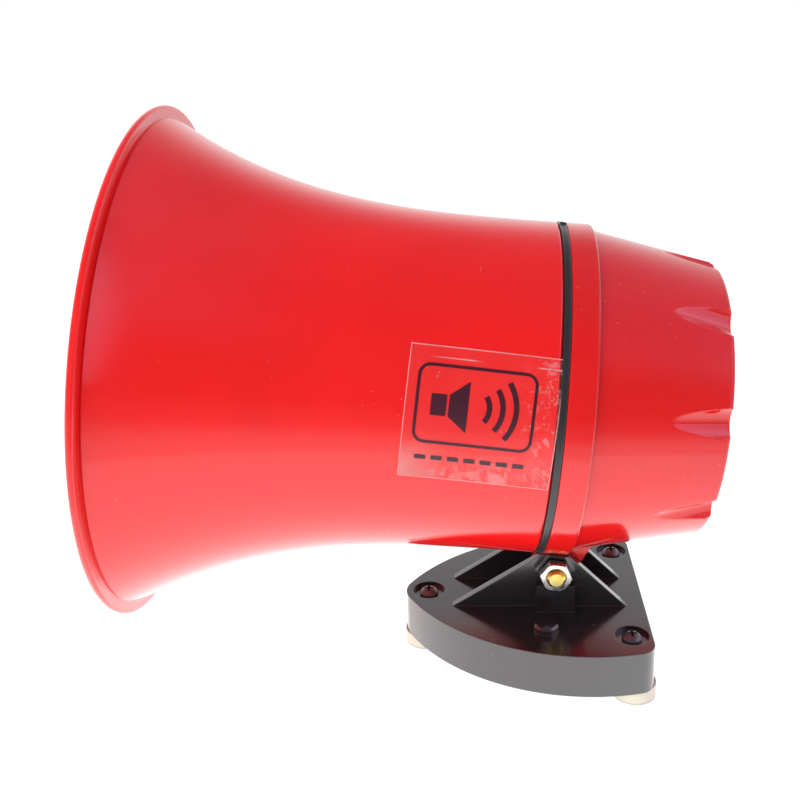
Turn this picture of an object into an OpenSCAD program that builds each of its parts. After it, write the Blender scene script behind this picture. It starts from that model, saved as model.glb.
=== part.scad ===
/* [Bracket] */
// Height of the bracket plate, without its feet
plate_h = 12.4; // [10:0.2:16]
// Distance from the pivot plane to the centre of the front corner
plate_front = 35.1; // [33:0.1:40]
// Distance from the pivot plane to the centres of the rear corners
plate_rear = 20.9; // [19:0.1:24]
// Half distance between the centres of the rear corners
plate_half_w = 27.7; // [25:0.1:32]
// Radius of the front corner
front_corner_r = 8.4; // [7:0.1:10]
// Radius of the rear corners
rear_corner_r = 4.95; // [4:0.05:7]
// Radius of the two bowed sides
side_r = 58; // [54:1:70]
// Wall thickness of the hollow plate
plate_wall = 2.5; // [2:0.1:3.5]
// Thickness of each ear
ear_t = 2.5; // [2:0.1:3.5]
// Clear gap between the ears
ear_gap = 13; // [12:0.5:16]

/* [Feet and base screws] */
// Height of the foot washers
foot_h = 4; // [3:0.5:6]
// Diameter of the foot washers
foot_d = 12; // [11:0.5:13]
// Distance from the pivot plane to the front screw
screw_front = 36.8; // [35:0.1:39]
// Distance from the pivot plane to the rear screws
screw_rear = 20.2; // [18:0.1:21]
// Spacing of the two rear screws
screw_rear_spacing = 47.6; // [44:0.2:50]
// Diameter of the base screw heads
base_head_d = 5.6; // [5:0.1:6]
// Diameter of the base screw threads
base_thread_d = 2.9; // [2.5:0.1:3]
// Diameter of the counterbores around the heads
counterbore_d = 9.4; // [8.6:0.2:9.8]
// Depth of the counterbores
counterbore_h = 1.2; // [1:0.1:3]
// Distance from the pivot plane to the front foot washer
foot_front = 38; // [37:0.1:38.5]
// Distance from the pivot plane to the rear foot washers
foot_rear = 20.8; // [20:0.1:21.5]
// Half spacing of the rear foot washers
foot_half_w = 26.1; // [25:0.1:26.3]

/* [Pivot] */
// Height of the pivot axis above the bracket plate's underside
pivot_rise = 24.3; // [23:0.1:27]
// Diameter of the pivot bolt
bolt_d = 5; // [5:0.5:5]
// Hex size of the nut and the bolt head, across flats
hex_af = 8; // [8:0.5:8]
// Thickness of the pivot nut
nut_t = 5; // [3.2:0.1:5.2]
// Radial running clearance of the bush on the bolt
run_gap = 0.05; // [0.02:0.01:0.1]
// Distance from the pivot axis up to the horn axis
axis_drop = 52.3; // [51:0.1:54]
// Upward tilt of the mouth at rest
rest_tilt = 4.9; // [0:0.1:10]

/* [Horn] */
// Radius of the mouth over the lip
mouth_r = 70; // [69:0.5:72]
// Distance from the pivot plane forward to the mouth
mouth_s = 117.2; // [112:0.2:122]
// Radius of the bell where it meets the gasket
bell_back_r = 45.9; // [45:0.1:47]
// How much the bell's radius grows up to its lip
flare_gain = 18.4; // [17:0.1:19]
// Power of the flare curve
flare_power = 3.05; // [2.5:0.05:4]
// Wall thickness of the bell and the housing
shell_t = 2.2; // [1.8:0.1:2.6]
// Length of the rear housing behind the pivot plane
rear_s = 35.9; // [34:0.1:38]
// Radius of the housing's collar
collar_r = 45.9; // [45.5:0.1:46.5]
// Radius of the housing's tapered barrel at the collar
barrel_front_r = 44.4; // [44:0.1:44.8]
// Radius of the barrel at its rear edge
barrel_rear_r = 37.6; // [37:0.1:38.5]
// Number of grip flutes around the barrel
flutes = 9; // [7:1:11]

/* [Sound path] */
// Inner radius of the throat tube at the driver
throat_r = 7; // [6:0.5:8]
// Inner radius of the throat tube at its open end
tube_end_r = 13; // [12:0.5:14]
// Outer radius of the reflector cup
cup_r = 31; // [29:0.5:32]
// Distance from the pivot plane forward to the cup's nose
cup_nose_s = 96; // [92:1:100]
// Length of the reflector cup's straight wall
cup_len = 42; // [38:1:46]

/* [Driver] */
// Diameter of the voice coil former
coil_d = 25; // [25:0.5:25]
// Outer radius of the ferrite magnet
magnet_r = 27; // [25:0.5:28]
// Thickness of the ferrite magnet
magnet_t = 10; // [8:0.5:10]

/* [Hidden] */

$fn = 96;
eps = 0.01;

// Heights of the bracket, from the underside of the feet
plate_z = foot_h;
plate_top = foot_h + plate_h;
pivot_z = foot_h + pivot_rise;

// Bracket details
top_skin = 2.8;
rib_t = 1.6;
screw_boss_r = 5.5;
head_hole_d = 3.2;
seat_t = 2.4;
relief_d = 5.8;
ear_out = ear_gap / 2 + ear_t;
ear_front_x = -29.5;
ear_rear_x = 20.6;
ear_tip_x = 3.2;
ear_tip_z = pivot_z + 5;
pad_half_w = 5.4;
pad_out = 3.4;
pad_top = pivot_z - 3.4;
nut_turn = 8;
rim_r = 6;
rim_in_r = 4.9;
rim_out = 1.6;
boss_x = -3.2;
boss_y = -21;
boss_r = 3.5;
boss_h = 2.2;
boss_chamfer = 0.6;

// Pivot stack, along Y towards the nut side
lug_half_w = 5.9;
lug_r = 6.3;
bush_r = 3.6;
hex_r = hex_af / 2 / cos(30);
bolt_end = 1.2;
head_t = 3.5;
spring_t = 1.2;

// Places along the horn axis, positive to the rear
gasket_t = 1.9;
gasket_back = -5.7;
bell_back = gasket_back - gasket_t;
bell_plate_t = 3;
bell_plate_front = bell_back - bell_plate_t;
lip_start = mouth_s - 7.2;
gasket_r = 46.1;
gasket_in_r = 35;
collar_back = 1.45;
collar_round = 0.7;
rear_wall_t = 2.5;
rear_round = 1.2;
flute_backing = 4;
flute_r = 4.4;
flute_start = 20.5;
flute_lean = 20.5;

// Driver stack along the axis
throat_plate_t = 2.5;
clamp_front = bell_back + throat_plate_t;
clamp_t = 4.5;
clamp_in_r = 17.7;
top_front = clamp_front + clamp_t;
top_t = 5;
magnet_front = top_front + top_t;
yoke_front = magnet_front + magnet_t;
yoke_t = 4;
driver_r = 33;
pole_r = 11.7;
gap_r = 13.9;
magnet_in_r = 17;
driver_screw_r = 30;
driver_screws_n = 4;

// Moving coil and diaphragm
former_t = 0.2;
coil_t = 0.7;
rim_s = top_front - 1;
dome_h = 2.3;
film_t = 0.3;
edge_r = 17.2;

// Circuit board
board_front = yoke_front + yoke_t + 2.4;
board_t = 1.6;
board_back = board_front + board_t;
board_r = 31;
board_screw_r = 27.5;
housing_in_back = rear_s - rear_wall_t;

// Screws that hold the shells
housing_screw_r = 39;
housing_screws_n = 4;
tube_flange_r = 20;
tube_flange_t = 2;
tube_screw_r = 16.5;
inlet_r = 24;
grommet_hole_r = 4;
cable_d = 4.6;

// ---- Helpers ----

// Places children on the pivot axis at rest, +X to the rear
module at_pivot() {
    translate([0, 0, pivot_z]) rotate([0, rest_tilt, 0]) children();
}

// Places children on the horn axis: local z runs to the rear, local -x is up
module on_horn_axis() {
    at_pivot() translate([0, 0, axis_drop]) rotate([0, 90, 0]) children();
}

// A straight ring along the axis
module ring(front, back, r_out, r_in) {
    translate([0, 0, front]) difference() {
        cylinder(h = back - front, r = r_out);
        translate([0, 0, -1]) cylinder(h = back - front + 2, r = r_in);
    }
}

// A hexagon prism with chamfered corners, flat across +Y when it lies along Z
module hex_body(t, r) {
    intersection() {
        cylinder(h = t, r = r, $fn = 6);
        union() {
            cylinder(h = 0.5, r1 = r - 0.45, r2 = r + 0.3);
            translate([0, 0, 0.5 - eps]) cylinder(h = t - 1 + 2 * eps, r = r + 0.3);
            translate([0, 0, t - 0.5]) cylinder(h = 0.5, r1 = r + 0.3, r2 = r - 0.45);
        }
    }
}

// A cross recess cut down from z = 0
module cross_recess(size, depth) {
    for (a = [0, 90]) rotate([0, 0, a])
        translate([-size / 2, -size / 7, -depth]) cube([size, size * 2 / 7, depth + 1]);
    translate([0, 0, -depth - 0.3]) cylinder(h = depth, r1 = size / 7, r2 = size / 4.5, $fn = 24);
}

// A pan-head screw: the seat is at z = 0, the head is above and the thread below
module pan_screw(head_d, head_t, neck_d, neck_l, thread_d, thread_l) {
    dome_r = (head_d * head_d / 4 + head_t * head_t) / (2 * head_t) + 0.6;
    difference() {
        intersection() {
            cylinder(h = head_t, d = head_d, $fn = 48);
            translate([0, 0, head_t - dome_r]) sphere(r = dome_r, $fn = 48);
        }
        translate([0, 0, head_t]) cross_recess(head_d * 0.52, head_t * 0.55);
    }
    translate([0, 0, -neck_l]) cylinder(h = neck_l + eps, d = neck_d, $fn = 32);
    translate([0, 0, -neck_l - thread_l]) cylinder(h = thread_l, d = thread_d, $fn = 32);
}

// ---- Bracket ----

// Centre of the circle that bows one side of the plate
side_far = side_r - front_corner_r;
side_near = side_r - rear_corner_r;
corner_gap = norm([plate_front + plate_rear, plate_half_w]);
side_along = (side_far * side_far - side_near * side_near + corner_gap * corner_gap)
    / (2 * corner_gap);
side_across = sqrt(side_far * side_far - side_along * side_along);
side_dir = [(plate_front + plate_rear) / corner_gap, -plate_half_w / corner_gap];
side_x = -plate_front + side_dir[0] * side_along - side_dir[1] * side_across;
side_y = side_dir[1] * side_along + side_dir[0] * side_across;

// Point where a corner circle meets the bowed side
function touch(cx, cy, r) =
    let (d = norm([cx - side_x, cy - side_y]))
    [cx + r * (cx - side_x) / d, cy + r * (cy - side_y) / d];

// Plan outline of the plate, moved inwards by inset
module plate_outline(inset) {
    fr = front_corner_r - inset;
    rr = rear_corner_r - inset;
    sr = side_r - inset;
    t1 = touch(-plate_front, 0, fr);
    t2 = touch(plate_rear, -plate_half_w, rr);
    back = plate_rear + rr;
    out = 30;
    intersection() {
        translate([side_x, side_y]) circle(r = sr, $fn = 180);
        translate([side_x, -side_y]) circle(r = sr, $fn = 180);
        polygon([t1, [t1[0] + 8, -out], [t2[0] - 8, -out - 8], t2, [back, -plate_half_w],
            [back, plate_half_w], [t2[0], -t2[1]], [t2[0] - 8, out + 8], [t1[0] + 8, out],
            [t1[0], -t1[1]]]);
    }
    translate([-plate_front, 0]) circle(r = fr);
    for (m = [-1, 1]) translate([plate_rear, m * plate_half_w]) circle(r = rr);
}

// Repeats children at the three base screws
module at_base_screws() {
    translate([-screw_front, 0, 0]) children();
    for (m = [-1, 1]) translate([screw_rear, m * screw_rear_spacing / 2, 0]) children();
}

// One ear: a triangle with a flat tip, standing on the plate
module ear_profile() {
    polygon([[ear_front_x, plate_top - 1], [ear_front_x, plate_top], [-ear_tip_x, ear_tip_z],
        [ear_tip_x, ear_tip_z], [ear_rear_x, plate_top], [ear_rear_x, plate_top - 1]]);
}

// Places children on the near ear's outer face, local z towards the nut side
module at_nut() {
    translate([0, -ear_out, pivot_z]) rotate([0, nut_turn, 0]) rotate([90, 0, 0]) children();
}

// A raised half-hexagon rim over the nut
module nut_rim() {
    intersection() {
        at_nut() translate([0, 0, -0.5]) difference() {
            cylinder(h = rim_out + 0.5, r = rim_r, $fn = 6);
            translate([0, 0, -1]) cylinder(h = rim_out + 3, r = rim_in_r, $fn = 6);
        }
        translate([-10, -ear_out - 5, pivot_z]) cube([20, 8, 10]);
    }
}

// Ribs inside the hollow plate
module plate_ribs() {
    for (y = [-18, -6.5, 6.5, 18]) translate([-60, y - rib_t / 2]) square([120, rib_t]);
    for (x = [-24, -9, 6]) translate([x - rib_t / 2, -60]) square([rib_t, 120]);
}

module bracket_base() {
    color([0.06, 0.06, 0.065]) difference() {
        union() {
            translate([0, 0, plate_z]) linear_extrude(plate_h) plate_outline(0);
            for (m = [-1, 1]) translate([0, m * (ear_gap / 2 + ear_t / 2), 0])
                rotate([90, 0, 0]) linear_extrude(ear_t, center = true) ear_profile();
            translate([-pad_half_w, -ear_out - pad_out, plate_top - 1])
                cube([2 * pad_half_w, pad_out + 0.5, pad_top - plate_top + 1]);
            nut_rim();
            translate([boss_x, boss_y, plate_top - 1]) {
                cylinder(h = boss_h - boss_chamfer + 1, r = boss_r);
                translate([0, 0, boss_h - boss_chamfer + 1 - eps])
                    cylinder(h = boss_chamfer, r1 = boss_r, r2 = boss_r - boss_chamfer);
            }
        }
        difference() {
            translate([0, 0, plate_z - 1]) linear_extrude(plate_h - top_skin + 1)
                plate_outline(plate_wall);
            translate([0, 0, plate_z]) linear_extrude(plate_h) plate_ribs();
            at_base_screws() cylinder(h = plate_top, r = screw_boss_r);
        }
        at_base_screws() {
            translate([0, 0, plate_top - counterbore_h])
                cylinder(h = counterbore_h + 1, d = counterbore_d);
            translate([0, 0, plate_z - 1]) cylinder(h = plate_h, d = head_hole_d);
            translate([0, 0, plate_z - 1])
                cylinder(h = plate_h - counterbore_h - seat_t + 1, d = relief_d);
        }
        // Pivot holes, and the seat that keeps the nut from turning
        translate([0, 20, pivot_z]) rotate([90, 0, 0]) cylinder(h = 40, d = bolt_d + 0.1);
        at_nut() cylinder(h = 8, r = hex_r + 0.1, $fn = 6);
    }
}

module foot_washers() {
    color([0.87, 0.83, 0.74]) {
        translate([-foot_front, 0, 0]) foot_washer(foot_front - screw_front, 0);
        for (m = [-1, 1]) translate([foot_rear, m * foot_half_w, 0])
            foot_washer(screw_rear - foot_rear, m * (screw_rear_spacing / 2 - foot_half_w));
    }
}

// One foot washer, bored for its screw, which lies off its centre
module foot_washer(off_x, off_y) {
    difference() {
        cylinder(h = foot_h, d = foot_d);
        translate([off_x, off_y, -1]) cylinder(h = foot_h + 2, d = relief_d);
    }
}

module base_screws() {
    neck_l = seat_t + 0.4;
    color([0.08, 0.08, 0.09]) at_base_screws()
        translate([0, 0, plate_top - counterbore_h])
            pan_screw(base_head_d, 2.1, base_thread_d - 0.4, neck_l,
                base_thread_d, plate_top - counterbore_h - neck_l - 0.2);
}

// ---- Pivot hardware ----

module pivot_bolt() {
    head_y = ear_out + spring_t;
    length = head_y + ear_out + nut_t + bolt_end;
    color([0.85, 0.68, 0.25]) translate([0, head_y, pivot_z]) rotate([90, 0, 0]) {
        difference() {
            translate([0, 0, -head_t]) hex_body(head_t, hex_r);
            translate([0, 0, -head_t - 1]) cylinder(h = 1.4, d = hex_af * 0.6);
        }
        cylinder(h = length - 0.6, d = bolt_d);
        translate([0, 0, length - 0.6]) cylinder(h = 0.6, d1 = bolt_d, d2 = bolt_d - 1);
    }
}

module pivot_spring_washer() {
    color([0.72, 0.72, 0.74]) translate([0, ear_out + spring_t, pivot_z])
        rotate([90, 0, 0]) difference() {
            cylinder(h = spring_t, r = 4.3);
            translate([0, 0, -1]) cylinder(h = spring_t + 2, d = bolt_d + 0.1);
            rotate([0, 0, 50]) translate([2, -0.4, -1]) rotate([12, 0, 0]) cube([4, 0.8, 4]);
        }
}

module pivot_nut() {
    color([0.80, 0.80, 0.80]) at_nut() difference() {
        hex_body(nut_t, hex_r);
        translate([0, 0, -1]) cylinder(h = nut_t + 2, d = bolt_d);
        translate([0, 0, nut_t - 0.5]) cylinder(h = 0.6, d1 = bolt_d, d2 = bolt_d + 1.2);
    }
}

module friction_washers() {
    t = ear_gap / 2 - lug_half_w - 0.1;
    color([0.45, 0.30, 0.18]) for (m = [-1, 1])
        translate([0, m * (ear_gap / 2 - t / 2), pivot_z]) rotate([90, 0, 0]) difference() {
            cylinder(h = t, r = 5.4, center = true);
            cylinder(h = t + 2, d = bolt_d + 0.1, center = true);
        }
}

module pivot_bush() {
    color([0.75, 0.63, 0.35]) at_pivot() translate([0, lug_half_w, 0]) rotate([90, 0, 0])
        difference() {
            cylinder(h = 2 * lug_half_w, r = bush_r);
            translate([0, 0, -1]) cylinder(h = 2 * lug_half_w + 2, r = bolt_d / 2 + run_gap);
        }
}

// ---- Bell ----

// Outer radius of the flare, for t from 0 at the gasket to 1 at the lip
function flare_r(t) = bell_back_r + flare_gain * pow(t, flare_power);
flare_n = 44;
flare_len = lip_start + bell_back;

// Outline points of the flare, moved inwards by inset, from the rear to the lip
function flare_points(inset) = [for (i = [0 : flare_n])
    [flare_r(i / flare_n) - inset, bell_back - flare_len * i / flare_n]];

// Outline of the lip, a thin flange: on along the flare to the groove behind it, over its
// rounded edge and into the mouth. Each pair is a radius and a distance behind the mouth.
lip_t = 2.6;
lip_round = 1.6;
function flare_at(back) = flare_r((mouth_s - back + bell_back) / flare_len);
lip_outline = concat(
    [for (back = [6, 5, 4, 3.3, lip_t]) [flare_at(back), back]],
    [[flare_at(lip_t) + 0.5, lip_t - 0.25], [mouth_r - 0.6, lip_t - 0.3],
        [mouth_r - 0.15, lip_t - 0.5], [mouth_r, lip_t - 0.9]],
    [for (a = [0, 22, 45, 68, 90])
        [mouth_r - lip_round * (1 - cos(a)), lip_round * (1 - sin(a))]],
    [[mouth_r - 2.4, 0.1], [mouth_r - 3.4, 0.6], [mouth_r - 4.6, 1.7], [mouth_r - 5.6, 3.3],
        [mouth_r - 6.8, 5.2]]);
lip_points = [for (p = lip_outline) [p[0], p[1] - mouth_s]];

function backwards(list) = [for (i = [len(list) - 1 : -1 : 0]) list[i]];

module bell() {
    outer = [for (p = flare_points(0)) if (p[1] < bell_back - 1) p];
    inner = [for (p = backwards(flare_points(shell_t))) if (p[1] < bell_plate_front - 0.3) p];
    edge = [[bell_back_r - 0.8, bell_back], [bell_back_r - 0.25, bell_back - 0.2],
        [bell_back_r, bell_back - 0.8]];
    color([0.86, 0.06, 0.06]) on_horn_axis() difference() {
        rotate_extrude($fn = 128) polygon(concat([[throat_r + 3, bell_back]], edge, outer,
            lip_points, inner, [[inner[len(inner) - 1][0], bell_plate_front],
                [throat_r + 3, bell_plate_front]]));
        at_housing_screws() translate([0, 0, -20]) cylinder(h = 20, r = 1.6, $fn = 32);
        at_tube_screws() translate([0, 0, -20]) cylinder(h = 20, r = 1.25, $fn = 32);
        at_driver_screws() translate([0, 0, -20]) cylinder(h = 20, r = 1.5, $fn = 32);
    }
}

module at_housing_screws() {
    for (i = [0 : housing_screws_n - 1])
        rotate([0, 0, 45 + 360 / housing_screws_n * i]) translate([housing_screw_r, 0, 0]) children();
}

module at_tube_screws() {
    for (i = [0 : 3]) rotate([0, 0, 90 * i]) translate([tube_screw_r, 0, 0]) children();
}

module at_driver_screws() {
    for (i = [0 : driver_screws_n - 1])
        rotate([0, 0, 22.5 + 360 / driver_screws_n * i])
            translate([driver_screw_r, 0, 0]) children();
}

// ---- Sound path inside the bell ----

tube_front = -72;
tube_wall = 1.8;
hub_len = 10;
hub_back = tube_front + 22;

module throat_tube() {
    color([0.80, 0.07, 0.07]) on_horn_axis() difference() {
        rotate_extrude() polygon([[throat_r + 1, bell_back], [throat_r + 3, bell_back],
            [throat_r + 3, bell_plate_front], [tube_flange_r, bell_plate_front],
            [tube_flange_r, bell_plate_front - tube_flange_t],
            [throat_r + 4, bell_plate_front - tube_flange_t],
            [throat_r + 1 + tube_wall, bell_plate_front - 6],
            [tube_end_r, hub_back], [tube_end_r, hub_back - hub_len],
            [tube_end_r + tube_wall, tube_front], [tube_end_r, tube_front],
            [tube_end_r - tube_wall, hub_back - hub_len], [tube_end_r - tube_wall, hub_back],
            [throat_r + 1, bell_plate_front - 6]]);
        at_tube_screws() translate([0, 0, -20]) cylinder(h = 20, r = 1.3, $fn = 32);
    }
}

module tube_screws() {
    color([0.7, 0.7, 0.72]) on_horn_axis() at_tube_screws()
        translate([0, 0, bell_plate_front - tube_flange_t]) rotate([180, 0, 0])
            pan_screw(4.6, 1.8, 2.4, tube_flange_t, 2.4, bell_plate_t - 0.3);
}

// The cup turns the sound back around the tube; three ribs and a ring hold it on the tube
cup_wall = 2;
cup_nose_h = 18;
cup_shoulder = cup_nose_h - cup_nose_s;
cup_back = cup_shoulder + cup_len;
cup_hole_r = 1.5;
cup_seat_h = 2.6;

// Outline of the cup's rounded nose, from the screw hole to the shoulder
function nose_points(inset) = [for (i = [0 : 10]) let (a = 9 * i)
    [max((cup_r - inset) * sin(a), cup_hole_r),
        cup_shoulder - (cup_nose_h - inset) * cos(a)]];

module reflector_cup() {
    color([0.84, 0.06, 0.06]) on_horn_axis() {
        difference() {
            union() {
                rotate_extrude() polygon(concat(nose_points(0),
                    [[cup_r + 0.4, cup_back - 1], [cup_r - 0.6, cup_back],
                        [cup_r - cup_wall, cup_back]],
                    backwards(nose_points(cup_wall))));
                translate([0, 0, -cup_nose_s + 0.5]) ring(0, cup_seat_h + 1.7, 5, cup_hole_r);
            }
            translate([0, 0, -cup_nose_s - 2]) cylinder(h = 2 + cup_seat_h, r = 3.3);
        }
        ring(hub_back - hub_len, hub_back, tube_end_r + 1.6, tube_end_r);
        for (i = [0 : 2]) rotate([0, 0, 60 + 120 * i])
            translate([tube_end_r + 0.8, -1, hub_back - hub_len])
                cube([cup_r - cup_wall - tube_end_r, 2, hub_len]);
    }
}

// A cone inside the cup that spreads the sound as it turns
cone_base = -cup_nose_s + cup_seat_h + 2.2;
cone_h = 15;

module turning_cone() {
    color([0.80, 0.07, 0.07]) on_horn_axis() difference() {
        rotate_extrude() polygon(concat([[0, cone_base], [10, cone_base]],
            [for (i = [0 : 8]) let (t = i / 8)
                [10 * pow(1 - t, 1.6), cone_base + 0.6 + cone_h * t]]));
        translate([0, 0, cone_base - 1]) cylinder(h = 11, r = 1.35, $fn = 32);
    }
}

module cup_screw() {
    color([0.7, 0.7, 0.72]) on_horn_axis() translate([0, 0, -cup_nose_s + cup_seat_h])
        rotate([180, 0, 0]) pan_screw(5.6, 2, 2.6, 2.3, 2.6, 9);
}

module flange_gasket() {
    color([0.08, 0.08, 0.09]) on_horn_axis() difference() {
        rotate_extrude($fn = 128) polygon([[gasket_in_r, bell_back], [gasket_r - 0.3, bell_back],
            [gasket_r, bell_back + 0.4], [gasket_r, gasket_back - 0.4],
            [gasket_r - 0.3, gasket_back], [gasket_in_r, gasket_back]]);
        at_housing_screws() translate([0, 0, -20]) cylinder(h = 20, r = 1.6, $fn = 32);
    }
}

module housing_screws() {
    color([0.7, 0.7, 0.72]) on_horn_axis() at_housing_screws()
        translate([0, 0, bell_plate_front]) rotate([180, 0, 0])
            pan_screw(5.6, 2, 2.9, 5, 2.9, 8);
}

// ---- Rear housing ----

// Radius of the barrel's outside at a place along the axis
function barrel_r(s) = barrel_front_r
    - (barrel_front_r - barrel_rear_r) * (s - collar_back) / (rear_s - collar_back);

// A quarter round from angle a0 to a1 about a centre, as outline points
function arc(cx, cz, r, a0, a1, n) = [for (i = [0 : n]) let (a = a0 + (a1 - a0) * i / n)
    [cx + r * cos(a), cz + r * sin(a)]];

module rear_shell() {
    rotate_extrude($fn = 128) polygon(concat(
        [[gasket_in_r + 1, gasket_back], [collar_r - 0.4, gasket_back],
            [collar_r, gasket_back + 0.4]],
        arc(collar_r - collar_round, collar_back - collar_round, collar_round, 0, 90, 6),
        [[barrel_front_r + 0.05, collar_back], [barrel_front_r, collar_back + 0.05]],
        arc(barrel_rear_r - rear_round, rear_s - rear_round, rear_round, 0, 90, 6),
        [[0, rear_s], [0, housing_in_back], [barrel_rear_r - flute_backing, housing_in_back],
            [barrel_r(12) - shell_t, 12], [barrel_r(0) - shell_t, 0], [gasket_in_r + 1, -2]]));
}

// One grip flute: a round groove that deepens towards the rear edge
module flute_cutter() {
    translate([barrel_r(flute_start) + flute_r / cos(flute_lean), 0, flute_start])
        rotate([0, -flute_lean, 0]) translate([0, 0, -3]) cylinder(h = 24, r = flute_r, $fn = 48);
}

// The lug that hangs between the ears, drawn about the pivot
module lug_profile() {
    lean = 25;
    front_lean = 4;
    root = 10.5;
    right = [lug_r * cos(lean), -lug_r * sin(lean)];
    left = [-lug_r * cos(front_lean), -lug_r * sin(front_lean)];
    circle(r = lug_r);
    polygon([left, right, [right[0] + (root - right[1]) * tan(lean), root], [-3, root],
        [-3, 6.6], [gasket_back + 0.1, 6.6]]);
}

module rear_housing() {
    color([0.86, 0.06, 0.06]) difference() {
        union() {
            on_horn_axis() difference() {
                rear_shell();
                for (i = [0 : flutes - 1]) rotate([0, 0, 180 + 360 / flutes * i]) flute_cutter();
            }
            on_horn_axis() at_housing_screws() translate([0, 0, gasket_back + 1])
                cylinder(h = 8.5, r = 3.4);
            on_horn_axis() at_board_screws() translate([0, 0, board_back])
                cylinder(h = housing_in_back - board_back + 0.5, r = 2.8);
            at_pivot() rotate([90, 0, 0]) linear_extrude(2 * lug_half_w, center = true)
                lug_profile();
        }
        at_pivot() rotate([90, 0, 0]) cylinder(h = 30, r = bush_r, center = true);
        on_horn_axis() {
            at_housing_screws() translate([0, 0, gasket_back - 1]) cylinder(h = 10, r = 1.5, $fn = 32);
            at_board_screws() translate([0, 0, board_back - 1]) cylinder(h = 8, r = 1.3, $fn = 32);
            translate([inlet_r, 0, housing_in_back - 1])
                cylinder(h = rear_wall_t + 2, r = grommet_hole_r);
        }
    }
}

module cable_grommet() {
    color([0.05, 0.05, 0.05]) on_horn_axis() translate([inlet_r, 0, 0]) difference() {
        union() {
            translate([0, 0, housing_in_back - 1.5]) cylinder(h = 1.5, r = grommet_hole_r + 1.4);
            translate([0, 0, housing_in_back - eps])
                cylinder(h = rear_wall_t + 2 * eps, r = grommet_hole_r);
            translate([0, 0, rear_s]) cylinder(h = 2, r1 = grommet_hole_r + 1.6, r2 = grommet_hole_r + 1);
        }
        translate([0, 0, 20]) cylinder(h = 30, d = cable_d);
    }
}

// ---- Driver ----

module throat_plate() {
    color([0.10, 0.10, 0.11]) on_horn_axis() difference() {
        ring(bell_back, clamp_front, driver_r, throat_r - 0.5);
        at_driver_screws() translate([0, 0, -20]) cylinder(h = 30, r = 1.6, $fn = 32);
        translate([0, 0, clamp_front - 1]) cylinder(h = 2, r1 = throat_r - 0.5, r2 = throat_r + 1.5);
    }
}

module phase_plug() {
    color([0.92, 0.92, 0.90]) on_horn_axis() {
        translate([0, 0, bell_back + 0.2]) cylinder(h = 2, r1 = 1, r2 = 3.6);
        for (i = [0 : 2]) rotate([0, 0, 120 * i])
            translate([1, -0.4, bell_back + 0.2]) cube([throat_r - 1.5, 0.8, 1.2]);
    }
}

module clamp_ring() {
    color([0.15, 0.15, 0.16]) on_horn_axis() difference() {
        ring(clamp_front, top_front, driver_r, clamp_in_r);
        at_driver_screws() translate([0, 0, -20]) cylinder(h = 40, r = 1.6, $fn = 32);
    }
}

module top_plate() {
    color([0.62, 0.62, 0.64]) on_horn_axis() difference() {
        ring(top_front, magnet_front, driver_r, gap_r);
        at_driver_screws() translate([0, 0, -20]) cylinder(h = 40, r = 1.6, $fn = 32);
    }
}

module magnet() {
    color([0.16, 0.16, 0.17]) on_horn_axis() difference() {
        ring(magnet_front, yoke_front, magnet_r, magnet_in_r);
        for (s = [magnet_front, yoke_front]) translate([0, 0, s]) difference() {
            cylinder(h = 1.2, r = magnet_r + 1, center = true);
            cylinder(h = 1.3, r = magnet_r - 0.6, center = true);
        }
    }
}

module pole_yoke() {
    color([0.66, 0.66, 0.68]) on_horn_axis() difference() {
        union() {
            translate([0, 0, yoke_front]) cylinder(h = yoke_t, r = magnet_r - 1);
            translate([0, 0, top_front + 0.2]) cylinder(h = yoke_front - top_front, r = pole_r);
        }
        translate([0, 0, top_front - 1]) cylinder(h = 40, r = 2.5);
    }
}

module driver_screws() {
    color([0.7, 0.7, 0.72]) on_horn_axis() at_driver_screws()
        translate([0, 0, magnet_front])
            pan_screw(5.4, 1.9, 2.9, magnet_front - bell_back, 2.9, bell_plate_t - 0.2);
}

// ---- Moving diaphragm ----

module diaphragm() {
    base_r = coil_d / 2 - former_t;
    ball_r = (base_r * base_r + dome_h * dome_h) / (2 * dome_h);
    roll = (edge_r - coil_d / 2 - 0.6) / 2;
    color([0.80, 0.66, 0.36]) on_horn_axis() {
        difference() {
            intersection() {
                translate([0, 0, rim_s - dome_h + ball_r]) sphere(r = ball_r);
                translate([0, 0, rim_s - dome_h - 1]) cylinder(h = dome_h + 1, r = base_r);
            }
            translate([0, 0, rim_s - dome_h + film_t + ball_r]) sphere(r = ball_r);
        }
        // Half-roll surround between the former and the free edge
        rotate_extrude() translate([coil_d / 2 + roll, rim_s]) difference() {
            intersection() {
                circle(r = roll, $fn = 32);
                translate([-5, -5]) square([10, 5]);
            }
            circle(r = roll - film_t, $fn = 32);
        }
        ring(rim_s - film_t, rim_s, edge_r, edge_r - 0.9);
        ring(rim_s - film_t, rim_s, coil_d / 2 + film_t, base_r - film_t);
    }
}

module voice_coil() {
    color([0.72, 0.36, 0.14]) on_horn_axis() {
        ring(rim_s, rim_s + 6.4, coil_d / 2, coil_d / 2 - former_t);
        ring(top_front + 0.7, top_front + 4.3, coil_d / 2 + coil_t, coil_d / 2);
    }
}

// ---- Electrics ----

terminal_a = 60;

module coil_terminals() {
    color([0.78, 0.70, 0.45]) on_horn_axis() for (i = [-1, 1]) rotate([0, 0, terminal_a + 7 * i])
        difference() {
            translate([driver_r, -1.4, clamp_front + 0.6]) cube([2.6, 2.8, 3]);
            translate([driver_r + 1.6, 0, clamp_front]) cylinder(h = 6, r = 0.5, $fn = 24);
        }
}

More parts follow.
